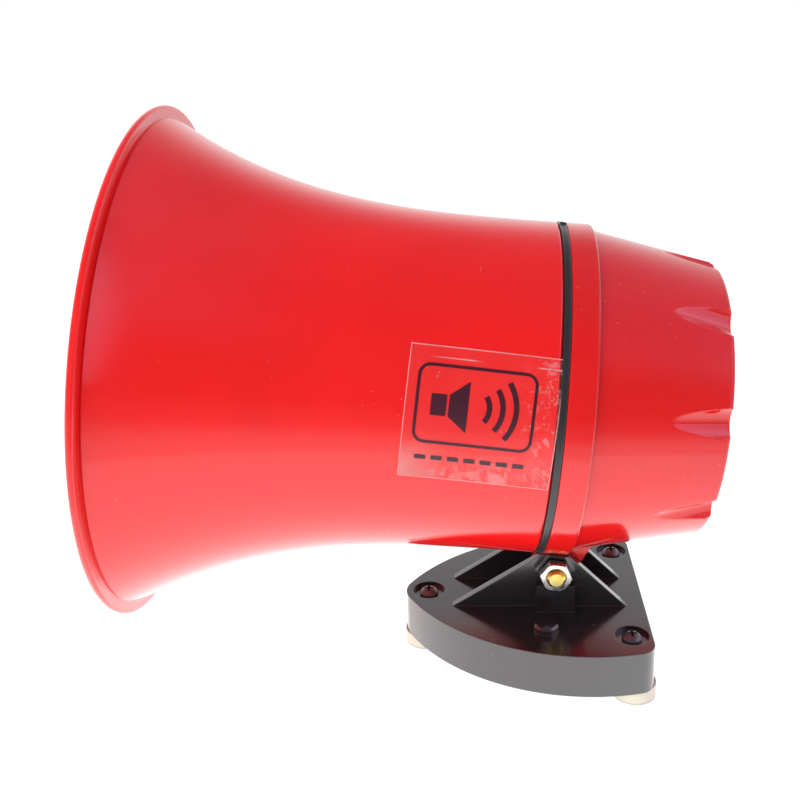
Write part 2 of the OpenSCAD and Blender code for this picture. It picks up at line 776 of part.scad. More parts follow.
// Two insulated leads from the board's edge to the coil terminals
module coil_leads() {
    lead_r = 0.5;
    lead_at = driver_r + 1.6;
    bend = 1.5;
    for (i = [-1, 1]) color(i > 0 ? [0.75, 0.05, 0.05] : [0.05, 0.05, 0.05])
        on_horn_axis() rotate([0, 0, terminal_a + 7 * i]) {
            translate([lead_at, 0, clamp_front + 1])
                cylinder(h = board_front - clamp_front - 2.5 - bend, r = lead_r, $fn = 24);
            translate([lead_at - bend, 0, board_front - 1.5 - bend]) rotate([90, 0, 0])
                rotate_extrude(angle = 90, $fn = 48) translate([bend, 0]) circle(r = lead_r, $fn = 24);
            translate([lead_at - bend, 0, board_front - 1.5]) rotate([0, -90, 0])
                cylinder(h = 2.6, r = lead_r, $fn = 24);
            translate([lead_at - bend - 2.6, 0, board_front - 2]) cylinder(h = 2, r = 1, $fn = 24);
        }
}

module at_board_screws() {
    for (i = [0 : 3]) rotate([0, 0, 25 + 90 * i]) translate([board_screw_r, 0, 0]) children();
}

module circuit_board() {
    color([0.08, 0.36, 0.16]) on_horn_axis() difference() {
        translate([0, 0, board_front]) cylinder(h = board_t, r = board_r);
        at_board_screws() cylinder(h = 40, r = 1.5, $fn = 32);
        translate([-board_r, -4, board_front - 1]) cube([2.5, 8, board_t + 2]);
    }
}

module board_screws() {
    color([0.7, 0.7, 0.72]) on_horn_axis() at_board_screws() translate([0, 0, board_front])
        rotate([180, 0, 0]) pan_screw(4.8, 1.4, 2.4, board_t, 2.4, 5);
}

module transformer_core() {
    color([0.30, 0.30, 0.32]) on_horn_axis() translate([-13, 0, board_back + 1]) difference() {
        translate([-7, -8, 0]) cube([14, 16, 8.6]);
        for (m = [-1, 1]) translate([-8, m * 4.25 - 1.75, 2]) cube([16, 3.5, 4.6]);
    }
}

module transformer_winding() {
    color([0.85, 0.72, 0.20]) on_horn_axis() translate([-13, 0, board_back]) difference() {
        union() {
            for (m = [-1, 1]) translate([m * 8 - 1, -5.9, 1]) cube([2, 11.8, 8.6]);
            for (m = [-1, 1]) translate([-9, m * 4.25 - 1.7, 3.05]) cube([18, 3.4, 4.5]);
            for (x = [-8, 8]) for (y = [-4, 0, 4]) translate([x, y, 0]) cylinder(h = 1.1, r = 0.45, $fn = 24);
        }
        cube([4, 2, 2], center = true);
    }
}

module capacitors() {
    color([0.10, 0.16, 0.32]) on_horn_axis() {
        for (y = [-13, 13]) translate([6, y, board_back]) {
            cylinder(h = 9, r = 4);
            translate([0, 0, 9]) cylinder(h = 0.4, r = 3.4);
        }
        translate([9, -1, board_back]) cylinder(h = 7, r = 2.5);
    }
}

module power_transistors() {
    color([0.07, 0.07, 0.08]) on_horn_axis() for (y = [-17, 17]) translate([-6, y, board_back]) {
        translate([-5, -2, 0]) cube([10, 2.2, 9]);
    }
}

module heat_sink() {
    color([0.72, 0.73, 0.75]) on_horn_axis() for (m = [-1, 1]) translate([-6, m * 17, board_back]) {
        translate([-6, m > 0 ? 0.2 : -3.2, 0]) cube([12, 1.2, 9.6]);
        for (x = [-6, -2.4, 1.2, 4.8]) translate([x, m > 0 ? 1.4 : -5.2, 0]) cube([1.2, 2, 9.6]);
    }
}

module tone_chip() {
    color([0.09, 0.09, 0.10]) on_horn_axis() translate([4, 1, board_back]) {
        translate([-4.7, -3.2, 0.6]) cube([4.4, 6.4, 3.2]);
        for (m = [-1, 1]) for (x = [-4.2, -2.5, -0.8]) translate([x - 0.25, m * 3.45 - 0.25, 0])
            cube([0.5, 0.5, 2]);
    }
}

module volume_trimmer() {
    color([0.15, 0.32, 0.65]) on_horn_axis() translate([15.5, 9.5, board_back]) difference() {
        translate([-3, -3, 0]) cube([6, 6, 4.5]);
        translate([0, 0, 3.7]) cylinder(h = 2, r = 1.7);
    }
}

module resistors() {
    lift = 1.3;
    color([0.80, 0.70, 0.50]) on_horn_axis() for (x = [-28, -25, 13.2])
        translate([x, 0, board_back + lift]) {
            rotate([90, 0, 0]) cylinder(h = 6.4, r = 1.15, center = true, $fn = 32);
            rotate([90, 0, 0]) cylinder(h = 9, r = 0.3, center = true, $fn = 24);
            for (m = [-1, 1]) translate([0, m * 4.2, -lift]) cylinder(h = lift, r = 0.3, $fn = 24);
        }
}

module supply_terminal() {
    color([0.10, 0.45, 0.25]) on_horn_axis() translate([18.5, 0, board_back]) difference() {
        translate([-3.6, -5, 0]) cube([7.2, 10, 7.5]);
        for (y = [-2.5, 2.5]) {
            translate([0, y, 6]) cylinder(h = 3, r = 1.6);
            translate([0, y, 3]) rotate([0, 90, 0]) cylinder(h = 10, r = 1.3);
        }
    }
}

// ---- Label ----

label_s = -26;
label_a = 7.8;
label_l = 36.8;
label_w = 32.6;
label_turn = -2.4;
label_t = 0.15;

module front_label() {
    color([0.92, 0.45, 0.42]) on_horn_axis() intersection() {
        rotate_extrude($fn = 128) polygon(concat(
            [for (p = flare_points(0)) if (p[1] < bell_back - 1 && p[1] > -60) p],
            backwards([for (p = flare_points(-label_t)) if (p[1] < bell_back - 1 && p[1] > -60) p])));
        rotate([0, 0, -90 - label_a]) translate([0, 0, label_s]) rotate([label_turn, 0, 0])
            translate([bell_back_r - 12, -label_w / 2, -label_l / 2]) cube([20, label_w, label_l]);
    }
}

bracket_base();
foot_washers();
base_screws();
pivot_bolt();
pivot_spring_washer();
pivot_nut();
friction_washers();
pivot_bush();
bell();
throat_tube();
tube_screws();
reflector_cup();
turning_cone();
cup_screw();
flange_gasket();
housing_screws();
rear_housing();
throat_plate();
phase_plug();
clamp_ring();
top_plate();
magnet();
pole_yoke();
driver_screws();
coil_terminals();
coil_leads();
circuit_board();
board_screws();
transformer_core();
transformer_winding();
capacitors();
power_transistors();
heat_sink();
tone_chip();
volume_trimmer();
resistors();
supply_terminal();
cable_grommet();
front_label();
diaphragm();
voice_coil();
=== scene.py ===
"""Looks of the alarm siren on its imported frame: smooth skins, the label, materials, light and camera."""

import math

import bmesh
import bpy
import numpy as np
from mathutils import Matrix


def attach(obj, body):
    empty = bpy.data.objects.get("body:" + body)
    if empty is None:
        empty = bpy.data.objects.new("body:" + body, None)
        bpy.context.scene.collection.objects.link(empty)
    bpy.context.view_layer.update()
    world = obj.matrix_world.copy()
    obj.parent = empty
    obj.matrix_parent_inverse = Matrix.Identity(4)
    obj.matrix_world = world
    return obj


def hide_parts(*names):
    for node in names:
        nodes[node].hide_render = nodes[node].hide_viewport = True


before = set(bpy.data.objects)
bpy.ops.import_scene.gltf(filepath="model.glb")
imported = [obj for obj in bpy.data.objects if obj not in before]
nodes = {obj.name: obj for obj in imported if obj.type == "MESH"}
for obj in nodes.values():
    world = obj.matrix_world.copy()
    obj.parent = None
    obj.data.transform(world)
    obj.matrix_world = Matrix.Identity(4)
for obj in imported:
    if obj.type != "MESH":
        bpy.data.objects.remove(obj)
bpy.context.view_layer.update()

# ---------------------------------------------------------------- the horn's frame
MM = 0.001
PIVOT_Z = 28.3  # height of the pivot above the feet
AXIS_H = 52.3  # horn axis above the pivot
TILT = math.radians(4.9)  # how far the mouth is raised at rest
COS_T, SIN_T = math.cos(TILT), math.sin(TILT)


def horn_to_world(s, y, h):
    """Metres in the frame, from millimetres along the horn: s to the rear, y across, h above the pivot."""
    s, y, h = (np.asarray(v, float) for v in (s, y, h))
    return np.stack([s * COS_T + h * SIN_T, y, PIVOT_Z - s * SIN_T + h * COS_T], -1) * MM


def ring_point(r, s, phi):
    """A point at radius r round the horn axis. Angle 0 faces -Y, a quarter turn is up."""
    return horn_to_world(s, -r * np.cos(phi), AXIS_H + r * np.sin(phi))


# ---------------------------------------------------------------- mesh helpers
def new_object(name, verts, faces):
    """A mesh object whose faces look outwards."""
    mesh = bpy.data.meshes.new(name)
    mesh.from_pydata([tuple(v) for v in verts], [], faces)
    bm = bmesh.new()
    bm.from_mesh(mesh)
    bmesh.ops.recalc_face_normals(bm, faces=bm.faces)
    bm.to_mesh(mesh)
    bm.free()
    obj = bpy.data.objects.new(name, mesh)
    bpy.context.scene.collection.objects.link(obj)
    return obj


def smooth(mesh, sharp):
    """Smooth shading, except at edges that turn more than sharp degrees."""
    mesh.polygons.foreach_set("use_smooth", [True] * len(mesh.polygons))
    mesh.set_sharp_from_angle(angle=math.radians(sharp))


def make_piece(name, verts, faces, body, sharp=40):
    obj = new_object(name, verts, faces)
    smooth(obj.data, sharp)
    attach(obj, body)
    return obj


def circle_angles(count):
    return np.linspace(0, 2 * math.pi, count, endpoint=False)


def revolve_rows(rows):
    """Vertices and faces of a closed surface through rings of points. A row of one point lies on the axis."""
    verts, starts, sizes = [], [], []
    for row in rows:
        row = np.atleast_2d(row)
        starts.append(len(verts))
        sizes.append(len(row))
        verts.extend(row)
    faces = []
    count = len(rows)
    closed = sizes[0] > 1 and sizes[-1] > 1
    for i in range(count if closed else count - 1):
        j = (i + 1) % count
        a, b = starts[i], starts[j]
        n = max(sizes[i], sizes[j])
        for k in range(n):
            m = (k + 1) % n
            if sizes[i] == 1:
                faces.append((a, b + k, b + m))
            elif sizes[j] == 1:
                faces.append((a + k, b, a + m))
            else:
                faces.append((a + k, b + k, b + m, a + m))
    return verts, faces


def lathe(profile, angles):
    """Rings of a profile [(r, s)] turned round the horn axis."""
    return [ring_point(0, s, 0) if r <= 0 else ring_point(r, s, angles) for r, s in profile]


def arc_points(cr, cs, radius, a0, a1, n):
    """An arc in (r, s) round (cr, cs), with its angles in degrees from outwards towards the rear."""
    return [
        (cr + radius * math.cos(math.radians(a)), cs + radius * math.sin(math.radians(a)))
        for a in np.linspace(a0, a1, n)
    ]


def spline(points, per_span):
    """Catmull-Rom curve through points, without its last point."""
    p = np.array(points, float)
    ends = [2 * p[0] - p[1], *p, 2 * p[-1] - p[-2]]
    out = []
    for i in range(1, len(ends) - 2):
        a, b, c, d = ends[i - 1 : i + 3]
        for t in np.linspace(0, 1, per_span, endpoint=False):
            out.append(
                0.5 * (2 * b + (c - a) * t + (2 * a - 5 * b + 4 * c - d) * t**2
                       + (3 * b - a - 3 * c + d) * t**3)
            )
    return [tuple(q) for q in out]


def straight(a, b, n):
    """n points from a towards b, without b."""
    return [
        (a[0] + (b[0] - a[0]) * t, a[1] + (b[1] - a[1]) * t)
        for t in np.linspace(0, 1, n, endpoint=False)
    ]


# ---------------------------------------------------------------- bell
BELL_BACK_R, BELL_BACK_S = 45.9, -7.6
BELL_ROUND = 1.0  # rounding of the bell's rear edge
FLARE_GAIN, FLARE_POWER, LIP_S = 18.4, 3.05, -110.0
MOUTH_R, MOUTH_S = 70.0, -117.2
GROOVE_S = -114.6  # the notch between the flare and the lip
LIP_BACK_ROUND, LIP_FRONT_ROUND = 0.6, 1.6
WALL = 2.2
MOUTH_END_S, THROAT_S = -112.0, -12.0  # the inner skin runs between these
PLATE_FRONT_S, PLATE_R, PLATE_HOLE_R = -10.6, 42.0, 10.0
BELL_COLUMNS = 384
BELL_SHARP = 18  # degrees


def flare_r(s):
    """Outer radius of the bell."""
    t = np.clip((BELL_BACK_S - np.asarray(s, float)) / (BELL_BACK_S - LIP_S), 0, None)
    return BELL_BACK_R + FLARE_GAIN * t**FLARE_POWER


def build_bell():
    m, front = MOUTH_R, MOUTH_S
    back_r, front_r = m - LIP_BACK_ROUND, m - LIP_FRONT_ROUND
    outer = [(float(flare_r(s)), s) for s in np.linspace(BELL_BACK_S - 1.2, GROOVE_S + 0.35, 112)]
    groove_r = outer[-1][0]
    # the lip is a thin flange with a sharp groove behind it
    lip = (
        [(groove_r - 0.12, GROOVE_S - 0.12)]
        + straight((groove_r + 0.5, GROOVE_S - 0.28), (back_r, front + 2.3), 4)
        + arc_points(back_r, front + 1.7, LIP_BACK_ROUND, 90, 0, 8)
        + arc_points(front_r, front + LIP_FRONT_ROUND, LIP_FRONT_ROUND, 0, -90, 14)
    )
    # the mouth's edge rolls over into the inner skin
    mouth = spline(
        [(m - 1.9, front), (m - 2.6, front + 0.13), (m - 3.4, front + 0.6), (m - 4.6, front + 1.7),
         (m - 5.6, front + 3.3), (float(flare_r(MOUTH_END_S)) - WALL, MOUTH_END_S)],
        6,
    )
    inner = [(float(flare_r(s)) - WALL, s) for s in np.linspace(MOUTH_END_S, THROAT_S, 80)]
    throat_r = inner[-1][0]
    back = (
        [(throat_r, THROAT_S + 0.6), (throat_r - 0.8, PLATE_FRONT_S)]
        + straight((PLATE_R, PLATE_FRONT_S), (PLATE_HOLE_R, PLATE_FRONT_S), 6)
        + [(PLATE_HOLE_R, PLATE_FRONT_S), (PLATE_HOLE_R, BELL_BACK_S)]
        + straight((PLATE_HOLE_R + 2, BELL_BACK_S), (BELL_BACK_R - 1.3, BELL_BACK_S), 6)
        + arc_points(BELL_BACK_R - BELL_ROUND, BELL_BACK_S - BELL_ROUND, BELL_ROUND, 90, 6, 8)
    )
    verts, faces = revolve_rows(lathe(outer + lip + mouth + inner + back, circle_angles(BELL_COLUMNS)))
    obj = make_piece("bell_shell", verts, faces, "horn", BELL_SHARP)
    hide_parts("bell")
    return obj


# ---------------------------------------------------------------- gasket
GASKET_IN_R, GASKET_OUT_R = 35.0, 46.1
GASKET_FRONT_S, GASKET_BACK_S = -7.6, -5.7
GASKET_ROUND = 0.4
NUB_HEIGHT, NUB_SPREAD = 0.6, 0.011  # the small moulding nub that stands at the top: millimetres, radians
RAGGED_FROM_R = 45.0  # only the outer edge is uneven


def build_gasket():
    r_in, r_out, s0, s1, e = GASKET_IN_R, GASKET_OUT_R, GASKET_FRONT_S, GASKET_BACK_S, GASKET_ROUND
    profile = (
        [(r_in, s0)] + straight((r_in + 2, s0), (r_out - e, s0), 4)
        + arc_points(r_out - e, s0 + e, e, -90, 0, 5)
        + arc_points(r_out - e, s1 - e, e, 0, 90, 5)
        + straight((r_out - 2, s1), (r_in + 0.5, s1), 4) + [(r_in, s1)]
    )
    top = math.pi / 2
    # more columns at the nub
    angles = np.sort(np.append(circle_angles(240), top + np.linspace(-0.03, 0.03, 20)))
    nub = NUB_HEIGHT * np.exp(-(((angles - top) / NUB_SPREAD) ** 2))
    # a rubber ring that isn't cut perfectly true
    uneven = 0.04 * np.sin(3 * angles + 0.6) + 0.02 * np.sin(17 * angles) + 0.015 * np.sin(41 * angles + 1)
    rows = []
    for r, s in profile:
        out = max(0.0, (r - RAGGED_FROM_R) / (r_out - RAGGED_FROM_R))
        rows.append(ring_point(r + (nub + uneven - 0.03) * out, s, angles))
    verts, faces = revolve_rows(rows)
    obj = make_piece("gasket_ring", verts, faces, "horn")
    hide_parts("flange_gasket")
    return obj


# ---------------------------------------------------------------- rear housing
COLLAR_R, COLLAR_FRONT, COLLAR_BACK = 45.9, -5.7, 1.45
COLLAR_FRONT_ROUND, COLLAR_BACK_ROUND = 0.4, 0.7
BARREL_R0, BARREL_R1, REAR_S = 44.4, 37.6, 35.9
REAR_ROUND = 1.2
FLUTES, FLUTE_R, FLUTE_S, FLUTE_LEAN = 9, 4.4, 20.5, math.radians(20.5)
FLUTE_END_ROUND = 0.6
EDGE_SOFT = 0.2  # rounding where a flute meets the barrel
INNER_BACK_S, INNER_BACK_R = 33.4, 33.6
INNER_BEND_R, INNER_BEND_S = 40.1, 12
INNER_FRONT_R, SHELF_R, SHELF_S = 42.2, 36, -2
LUG_R, LUG_HALF, LUG_ROOT = 6.3, 5.9, 10.5
LUG_LEAN, LUG_FRONT_LEAN = math.radians(25), math.radians(4)
LUG_FRONT_U, LUG_STEP_U, LUG_STEP_V = -5.6, -3, 6.6  # the lug's front narrows in a step under the collar
BUSH_R, BUSH_REACH = 3.6, 9
CABLE_R, CABLE_DROP = 4.0, 24
CABLE_FROM_S, CABLE_TO_S = 31, 40  # the hole is cut between these, through the rear wall


def barrel_r(s):
    """Outer radius of the tapered barrel behind the collar."""
    return BARREL_R0 - (BARREL_R0 - BARREL_R1) * (s - COLLAR_BACK) / (REAR_S - COLLAR_BACK)


def flute_floor(phi, s):
    """Radius of a flute's round floor at an angle phi from its middle, large where there is none.

    The floor is a leaning cylinder, met by a ray that leaves the horn axis square to it.
    """
    r0 = barrel_r(FLUTE_S) + FLUTE_R / math.cos(FLUTE_LEAN)
    a, b = math.sin(FLUTE_LEAN), math.cos(FLUTE_LEAN)
    eu = -a * np.cos(phi)
    ew = -r0 * np.cos(phi)
    wu = a * r0 + b * (s - FLUTE_S)
    ww = r0**2 + (s - FLUTE_S) ** 2
    qa = 1 - eu**2
    qb = 2 * (ew - eu * wu)
    qc = ww - wu**2 - FLUTE_R**2
    disc = qb**2 - 4 * qa * qc
    return np.where(disc > 0, (-qb - np.sqrt(np.maximum(disc, 0))) / (2 * qa), 99.0)


def soft_min(a, b, k):
    """The smaller of a and b, rounded over within k where they cross."""
    h = np.clip(0.5 + 0.5 * (b - a) / k, 0, 1)
    return b * (1 - h) + a * h - k * h * (1 - h)


def boolean(obj, cutter, mode):
    """Join or cut obj with a scratch object, which is then removed."""
    mod = obj.modifiers.new(mode, "BOOLEAN")
    mod.operation = mode
    mod.solver = "EXACT"
    mod.object = cutter
    deps = bpy.context.evaluated_depsgraph_get()
    mesh = bpy.data.meshes.new_from_object(obj.evaluated_get(deps))
    obj.modifiers.clear()
    old = obj.data
    obj.data = mesh
    bpy.data.meshes.remove(old)
    bpy.data.objects.remove(cutter)


def prism(name, outline, to_world, low, high):
    """A closed prism of a 2D outline between low and high."""
    n = len(outline)
    verts = [to_world(u, v, low) for u, v in outline] + [to_world(u, v, high) for u, v in outline]
    faces = [tuple(range(n - 1, -1, -1)), tuple(range(n, 2 * n))]
    faces += [(i, (i + 1) % n, n + (i + 1) % n, n + i) for i in range(n)]
    return new_object(name, verts, faces)


def circle(cx, cy, r, n=48):
    return [(cx + r * math.cos(t), cy + r * math.sin(t)) for t in circle_angles(n)]


def across_horn(u, v, y):
    """A prism's place when it runs from side to side, with its outline seen from the side."""
    return horn_to_world(u, y, v)


def along_horn(u, v, s):
    """A prism's place when it runs along the horn axis, with its outline seen from the rear."""
    return horn_to_world(s, u, AXIS_H + v)


def lug_outline():
    """The lug that hangs between the ears, seen from the side."""
    low = np.linspace(math.pi + LUG_FRONT_LEAN, 2 * math.pi - LUG_LEAN, 40)
    arc = [(LUG_R * math.cos(a), LUG_R * math.sin(a)) for a in low]
    end_u, end_v = arc[-1]
    rear_root = end_u + (LUG_ROOT - end_v) * math.tan(LUG_LEAN)
    step = [(LUG_STEP_U, LUG_ROOT), (LUG_STEP_U, LUG_STEP_V), (LUG_FRONT_U, LUG_STEP_V)]
    return arc + [(rear_root, LUG_ROOT)] + step


def build_housing():
    # more columns where the flutes are
    narrow = np.radians(np.linspace(-8, 8, 54))
    wide = np.radians(np.linspace(8, 32, 14)[1:-1])
    one = np.concatenate([narrow, wide])
    pitch = 2 * math.pi / FLUTES
    angles = np.concatenate([math.pi / 2 + one + pitch * i for i in range(FLUTES)])
    local = np.concatenate([one] * FLUTES)
    local = np.where(local > pitch / 2, local - pitch, local)

    bend = (INNER_BEND_R, INNER_BEND_S)
    inner = (
        [(0, INNER_BACK_S)] + straight((4, INNER_BACK_S), (INNER_BACK_R, INNER_BACK_S), 5)
        + straight((INNER_BACK_R, INNER_BACK_S), bend, 6) + straight(bend, (INNER_FRONT_R, 0), 4)
        + [(INNER_FRONT_R, 0), (SHELF_R, SHELF_S), (SHELF_R, COLLAR_FRONT)]
    )
    front_r, back_r = COLLAR_R - COLLAR_FRONT_ROUND, COLLAR_R - COLLAR_BACK_ROUND
    collar = (
        straight((SHELF_R + 1.5, COLLAR_FRONT), (front_r, COLLAR_FRONT), 4)
        + arc_points(front_r, COLLAR_FRONT + COLLAR_FRONT_ROUND, COLLAR_FRONT_ROUND, -90, 0, 5)
        + straight((COLLAR_R, COLLAR_FRONT + 1), (COLLAR_R, 0.5), 4)
        + arc_points(back_r, COLLAR_BACK - COLLAR_BACK_ROUND, COLLAR_BACK_ROUND, 0, 90, 9)
        + [(BARREL_R0 + 0.12, COLLAR_BACK + 0.02), (BARREL_R0 - 0.02, COLLAR_BACK + 0.14)]
    )
    stations = np.concatenate([np.linspace(2.1, 15.5, 10), np.linspace(16, REAR_S - REAR_ROUND, 58)])
    barrel = [(barrel_r(s), s) for s in stations]
    edge = arc_points(BARREL_R1 - REAR_ROUND, REAR_S - REAR_ROUND, REAR_ROUND, 8, 90, 10)

    rows = lathe(inner + collar, angles)
    for r, s in barrel + edge:
        # the flute's rear end is rounded over too
        over = max(0.0, s - (REAR_S - FLUTE_END_ROUND))
        fall = FLUTE_END_ROUND - math.sqrt(max(FLUTE_END_ROUND**2 - over**2, 0.0))
        radii = soft_min(r, flute_floor(local, s) - fall, EDGE_SOFT)
        rows.append(ring_point(radii, s, angles))
    # the flat rear wall shrinks from that last edge to the axis
    rows += [ring_point(radii * k, REAR_S, angles) for k in (0.99, 0.97, 0.93, 0.85, 0.7, 0.45, 0.2)]
    rows.append(ring_point(0, REAR_S, 0))
    verts, faces = revolve_rows(rows)
    obj = new_object("housing_shell", verts, faces)

    lug = prism("lug", lug_outline(), across_horn, -LUG_HALF, LUG_HALF)
    boolean(obj, lug, "UNION")
    bore = prism("bush_bore", circle(0, 0, BUSH_R, 64), across_horn, -BUSH_REACH, BUSH_REACH)
    boolean(obj, bore, "DIFFERENCE")
    hole = prism("cable_hole", circle(0, -CABLE_DROP, CABLE_R), along_horn, CABLE_FROM_S, CABLE_TO_S)
    boolean(obj, hole, "DIFFERENCE")
    smooth(obj.data, 35)
    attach(obj, "horn")
    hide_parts("rear_housing")
    return obj


# ---------------------------------------------------------------- label
LABEL_S, LABEL_A, LABEL_TURN = -26.0, math.radians(7.8), math.radians(-2.4)
LABEL_L, LABEL_W = 36.8, 32.6
FILM_LOW, FILM_HIGH = 0.02, 0.10  # heights above the bell's skin
INK_LOW, INK_HIGH = 0.108, 0.135
INK_U, INK_V = -1.6, 2.6  # middle of the printed frame
FRAME_L, FRAME_W, FRAME_ROUND, FRAME_LINE = 28.0, 18.6, 2.6, 0.7
MAGNET_U, MAGNET_HALF = (-10.6, -6.9), 2.6
CONE_U, CONE_LENGTH, CONE_SPREAD = -6.3, 4.6, 3.6
WAVES_U, WAVE_RADII, WAVE_LINE = -1.8, (5.2, 8.4, 11.6), 1.25
BARS, BAR_U, BAR_V, BAR_PITCH, BAR_LENGTH, BAR_HALF = 7, -13.2, -10.7, 3.95, 2.7, 0.55
CORNERS = ((1, 1), (-1, 1), (-1, -1), (1, -1))


def on_label(u, v, lift):
    """A place on the label, u to the rear and v up, at a height above the bell's skin."""
    u, v = np.asarray(u, float), np.asarray(v, float)
    across = -v * math.cos(LABEL_TURN) - u * math.sin(LABEL_TURN)
    s = LABEL_S - v * math.sin(LABEL_TURN) + u * math.cos(LABEL_TURN)
    r = flare_r(s)
    phi = LABEL_A - np.arcsin(across / r)
    return ring_point(r + lift, s, phi)


def solid_patch(grid_u, grid_v, low, high):
    """A thin closed solid over a grid of label places."""
    n, m = grid_u.shape
    top = on_label(grid_u, grid_v, high).reshape(-1, 3)
    bottom = on_label(grid_u, grid_v, low).reshape(-1, 3)
    verts = list(top) + list(bottom)
    k = n * m
    faces = []
    for i in range(n - 1):
        for j in range(m - 1):
            a, b, c, d = i * m + j, i * m + j + 1, (i + 1) * m + j + 1, (i + 1) * m + j
            faces.append((a, b, c, d))
            faces.append((k + d, k + c, k + b, k + a))
    rim = (list(range(m)) + [i * m + m - 1 for i in range(1, n)]
           + [(n - 1) * m + j for j in range(m - 2, -1, -1)] + [i * m for i in range(n - 2, 0, -1)])
    for a, b in zip(rim, rim[1:] + rim[:1]):
        faces.append((a, k + a, k + b, b))
    return verts, faces


def joined(parts):
    """One mesh from several (vertices, faces)."""
    verts, faces = [], []
    for v, f in parts:
        base = len(verts)
        verts += v
        faces += [tuple(i + base for i in one) for one in f]
    return verts, faces


def stroke(path, width, low, high):
    """A printed line of even width along label points."""
    p = np.array(path, float)
    d = np.gradient(p, axis=0)
    d /= np.linalg.norm(d, axis=1)[:, None]
    side = np.stack([-d[:, 1], d[:, 0]], 1) * width / 2
    rows = np.stack([p - side, p, p + side])
    return solid_patch(rows[:, :, 0], rows[:, :, 1], low, high)


def closed_stroke(path, width, low, high):
    """A printed loop of even width: two rings of points, joined all round."""
    p = np.array(path, float)
    d = np.roll(p, -1, 0) - np.roll(p, 1, 0)
    d /= np.linalg.norm(d, axis=1)[:, None]
    side = np.stack([-d[:, 1], d[:, 0]], 1) * width / 2
    loops = [on_label(*(p + side * k).T, lift) for k, lift in ((-1, low), (-1, high), (1, high), (1, low))]
    n = len(p)
    verts = [v for loop in loops for v in loop]
    faces = []
    for a in range(4):
        b = (a + 1) % 4
        for i in range(n):
            j = (i + 1) % n
            faces.append((a * n + i, a * n + j, b * n + j, b * n + i))
    return verts, faces


def rounded_box(cx, cy, w, h, r, n=12):
    """Points round a box with round corners, n to a corner, with more along its sides."""

    def on_corner(k, degrees):
        side_u, side_v = CORNERS[k % 4]
        a = math.radians(degrees)
        return cx + side_u * (w / 2 - r) + r * math.cos(a), cy + side_v * (h / 2 - r) + r * math.sin(a)

    out = []
    for k in range(4):
        end = k * 90 + 90
        out += [on_corner(k, a) for a in np.linspace(k * 90, end, n)]
        out += straight(out[-1], on_corner(k + 1, end), 10)[1:]
    return out


def ink_block(us, vs):
    """A printed patch over a grid of label places."""
    return solid_patch(INK_U + us, INK_V + vs, INK_LOW, INK_HIGH)


def loudspeaker():
    """A magnet box and a cone."""
    box = np.meshgrid(np.linspace(*MAGNET_U, 8), np.linspace(-MAGNET_HALF, MAGNET_HALF, 10))
    t, w = np.meshgrid(np.linspace(0, 1, 14), np.linspace(-1, 1, 16))
    return [ink_block(*box), ink_block(CONE_U + CONE_LENGTH * t, w * (MAGNET_HALF + CONE_SPREAD * t))]


def sound_waves():
    a = np.radians(np.linspace(-36, 36, 30))
    centre = INK_U + WAVES_U
    return [stroke(np.stack([centre + r * np.cos(a), INK_V + r * np.sin(a)], 1), WAVE_LINE, INK_LOW, INK_HIGH)
            for r in WAVE_RADII]


def bars():
    """A row of short bars under the printed frame."""
    u, v = np.meshgrid(np.linspace(0, BAR_LENGTH, 5), np.linspace(-BAR_HALF, BAR_HALF, 4))
    return [solid_patch(INK_U + BAR_U + BAR_PITCH * i + u, BAR_V + v, INK_LOW, INK_HIGH) for i in range(BARS)]


def build_label():
    us = np.linspace(-LABEL_L / 2, LABEL_L / 2, 60)
    vs = np.linspace(-LABEL_W / 2, LABEL_W / 2, 50)
    gu, gv = np.meshgrid(us, vs)
    verts, faces = solid_patch(gu, gv, FILM_LOW, FILM_HIGH)
    film = make_piece("label_film", verts, faces, "horn")
    # the film's own map, from 0 to 1 each way, for its cut edges and air pockets
    uv = film.data.uv_layers.new(name="place")
    places = np.concatenate([np.stack([gu.ravel() / LABEL_L + 0.5, gv.ravel() / LABEL_W + 0.5], 1)] * 2)
    loops = np.zeros(len(film.data.loops), np.int32)
    film.data.loops.foreach_get("vertex_index", loops)
    uv.data.foreach_set("uv", places[loops].ravel())
    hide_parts("front_label")

    outline = rounded_box(INK_U, INK_V, FRAME_L, FRAME_W, FRAME_ROUND)
    border = closed_stroke(outline, FRAME_LINE, INK_LOW, INK_HIGH)
    verts, faces = joined([border] + loudspeaker() + sound_waves() + bars())
    ink = make_piece("label_print", verts, faces, "horn")
    return film, ink


